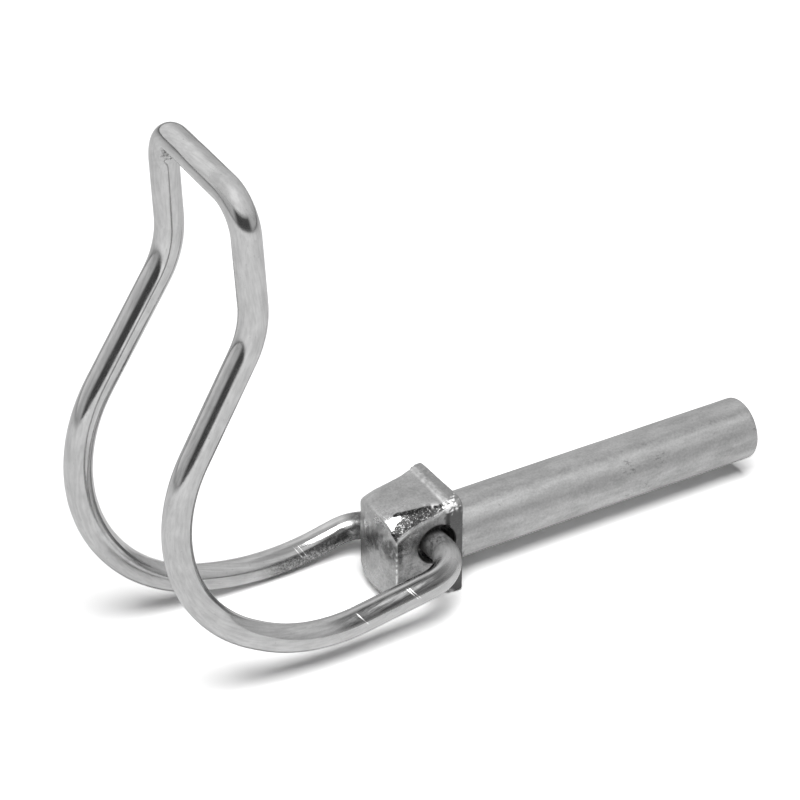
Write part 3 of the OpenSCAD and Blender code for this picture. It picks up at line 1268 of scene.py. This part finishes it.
@dataclass
class Studio:
    """Pale floor, soft overhead light and the camera.

    The room that metal mirrors is described by heights and bearings in degrees.
    """

    floor_height: float = -6.0 * MM
    floor_size: float = 6.0
    floor_shade: float = 0.8
    floor_seen: float = 1.95
    floor_mirrored: float = 1.17
    camera_azimuth: float = 31.587
    camera_elevation: float = 31.425
    camera_roll: float = 0.056
    camera_distance: float = 396.86 * MM
    camera_target: Point = (-0.09 * MM, 9.548 * MM, 13.234 * MM)
    camera_clip: Pair = (0.01, 50.0)
    lens: float = 148.443
    sensor: float = 36.0
    key_place: Point = (-0.23, -0.36, 0.9)
    key_size: Pair = (0.78, 0.6)
    key_power: float = 9.0
    sky: float = 0.05
    walls: Fade = Fade(2.0, 45.0, 0.58, 0.8)
    ceiling_edge: Fade = Fade(50.0, 64.0)
    ceiling: float = 0.5
    doorway: float = 0.08
    doorway_azimuth: float = 205.0
    doorway_elevation: float = 8.0
    doorway_half: Pair = (45.0, 19.0)
    doorway_edge: Fade = Fade(0.75, 1.25)
    glow_azimuth: float = 341.0
    glow: Fade = Fade(26.0, 52.0, 0.3, 0.0)

    def camera(self) -> bpy.types.Object:
        """Makes the camera.

        Returns:
            The camera, which is also set as the scene's own.
        """
        data = bpy.data.cameras.new("camera")
        data.lens = self.lens
        data.sensor_width = self.sensor
        data.clip_start, data.clip_end = self.camera_clip
        az, el = math.radians(self.camera_azimuth), math.radians(self.camera_elevation)
        ahead = Vector((math.sin(az) * math.cos(el), math.cos(az) * math.cos(el), -math.sin(el)))
        made = bpy.data.objects.new("camera", data)
        made.location = Vector(self.camera_target) - self.camera_distance * ahead
        made.rotation_mode = "XYZ"
        turn = Matrix.Rotation(-az, 3, "Z") @ Matrix.Rotation(math.pi / 2 - el, 3, "X")
        turn = turn @ Matrix.Rotation(math.radians(self.camera_roll), 3, "Z")
        made.rotation_euler = turn.to_euler()
        bpy.context.scene.collection.objects.link(made)
        bpy.context.scene.camera = made
        return made

    def key_light(self) -> bpy.types.Object:
        """Makes the long softbox that hangs level, high in front of the part.

        Returns:
            The light.
        """
        data = bpy.data.lights.new("key", "AREA")
        data.shape = "RECTANGLE"
        data.size, data.size_y = self.key_size
        data.energy = self.key_power
        made = bpy.data.objects.new("key", data)
        made.location = self.key_place
        bpy.context.scene.collection.objects.link(made)
        return made

    def aside(self, graph: Graph, bearing: Socket, azimuth: float) -> Socket:
        """Turns a bearing into how far it lies to either side of an azimuth, in degrees."""
        turn = graph.math("WRAP", graph.math("SUBTRACT", bearing, azimuth), 180.0, -180.0)
        return graph.math("ABSOLUTE", turn)

    def mirrored_room(self, graph: Graph) -> Socket:
        """Describes the studio that metal mirrors: pale walls, a dimmer ceiling and a dark doorway.

        Args:
            graph: The world's node graph.

        Returns:
            The room's brightness in each direction.
        """
        looking = graph.node("ShaderNodeTexCoord").outputs["Generated"]
        way = graph.node("ShaderNodeSeparateXYZ", {0: looking}).outputs
        height = graph.math("DEGREES", graph.math("ARCSINE", way["Z"]))
        bearing = graph.math("DEGREES", graph.math("ARCTAN2", way["X"], way["Y"]))
        top = graph.times(graph.ramp(height, *self.ceiling_edge), self.ceiling - self.walls.end)
        glow = graph.ramp(self.aside(graph, bearing, self.glow_azimuth), *self.glow)
        room = graph.plus(graph.ramp(height, *self.walls), top, glow)
        across = graph.math("DIVIDE", self.aside(graph, bearing, self.doorway_azimuth), self.doorway_half[0])
        up = graph.math("ABSOLUTE", graph.math("SUBTRACT", height, self.doorway_elevation))
        up = graph.math("DIVIDE", up, self.doorway_half[1])
        outside = graph.ramp(graph.most(across, up), *self.doorway_edge)
        return graph.plus(self.doorway, graph.times(outside, graph.math("SUBTRACT", room, self.doorway)))

    def world(self) -> None:
        """Makes the sky: dim for what it lights, white where it is seen, and a room where it is mirrored."""
        world = bpy.data.worlds.new("studio")
        bpy.context.scene.world = world
        world.use_nodes = True
        graph = Graph(world.node_tree)
        back = world.node_tree.nodes["Background"]
        rays = graph.node("ShaderNodeLightPath").outputs
        beyond_sky = graph.math("SUBTRACT", self.mirrored_room(graph), self.sky)
        mirrored = graph.times(rays["Is Glossy Ray"], beyond_sky)
        seen = graph.times(graph.most(rays["Is Camera Ray"], rays["Is Transmission Ray"]), 1.0 - self.sky)
        graph.put(back.inputs["Strength"], graph.plus(mirrored, self.sky, seen))
        graph.put(back.inputs["Color"], (1, 1, 1, 1))

    def floor_paper(self) -> bpy.types.Material:
        """Makes the floor's finish.

        Returns:
            A matte material with its own shades for what is lit, what is seen and what is mirrored.
        """
        finish, graph, shader = new_material("floor_paper")
        finish.node_tree.nodes.remove(shader)
        rays = graph.node("ShaderNodeLightPath").outputs
        shade = self.floor_shade
        for ray, value in (("Is Camera Ray", self.floor_seen), ("Is Glossy Ray", self.floor_mirrored)):
            shade = graph.plus(shade, graph.times(rays[ray], value - self.floor_shade))
        # The paper shows paler far out, as the light falls off, so that no grey band shows at the horizon
        away = graph.node("ShaderNodeVectorMath", {0: graph.object_coordinates()}, operation="LENGTH")
        out = graph.math("DIVIDE", away.outputs["Value"], self.key_place[2])
        fall = graph.math("POWER", graph.plus(1.0, graph.times(out, out)), 2.0)
        shade = graph.times(shade, graph.mix(rays["Is Camera Ray"], 1.0, fall))
        matte = graph.node("ShaderNodeBsdfDiffuse", {"Color": graph.grey(shade)})
        graph.put(finish.node_tree.nodes["Material Output"].inputs["Surface"], matte.outputs[0])
        return finish

    def floor(self) -> bpy.types.Object:
        """Makes the floor.

        Returns:
            A large flat sheet that shows white where no shadow falls.
        """
        mesh = bpy.data.meshes.new("floor")
        half = self.floor_size / 2
        corners = [(x * half, y * half, self.floor_height) for x, y in ((-1, -1), (1, -1), (1, 1), (-1, 1))]
        mesh.from_pydata(corners, [], [(0, 1, 2, 3)])
        mesh.materials.append(self.floor_paper())
        made = bpy.data.objects.new("floor", mesh)
        bpy.context.scene.collection.objects.link(made)
        return made

    def build(self) -> None:
        """Sets up the whole studio."""
        self.camera()
        self.key_light()
        self.world()
        self.floor()
        bpy.context.scene.view_settings.view_transform = "Standard"


def main() -> None:
    """Builds the studio and the part, and reports each piece."""
    logging.basicConfig(level=logging.INFO, format="%(name)s: %(message)s")
    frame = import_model()
    Studio().build()
    loop = WireLoop().build()
    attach(loop, Body.LOOP.value)
    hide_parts("wire_loop")
    LOG.info("%s: %d faces", loop.name, len(loop.data.polygons))
    for piece in Pin().build(frame["nodes"]["pin"]):
        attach(piece, Body.PIN.value)
        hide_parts("pin")
        LOG.info("%s: %d faces", piece.name, len(piece.data.polygons))


if __name__ == "__main__":
    main()
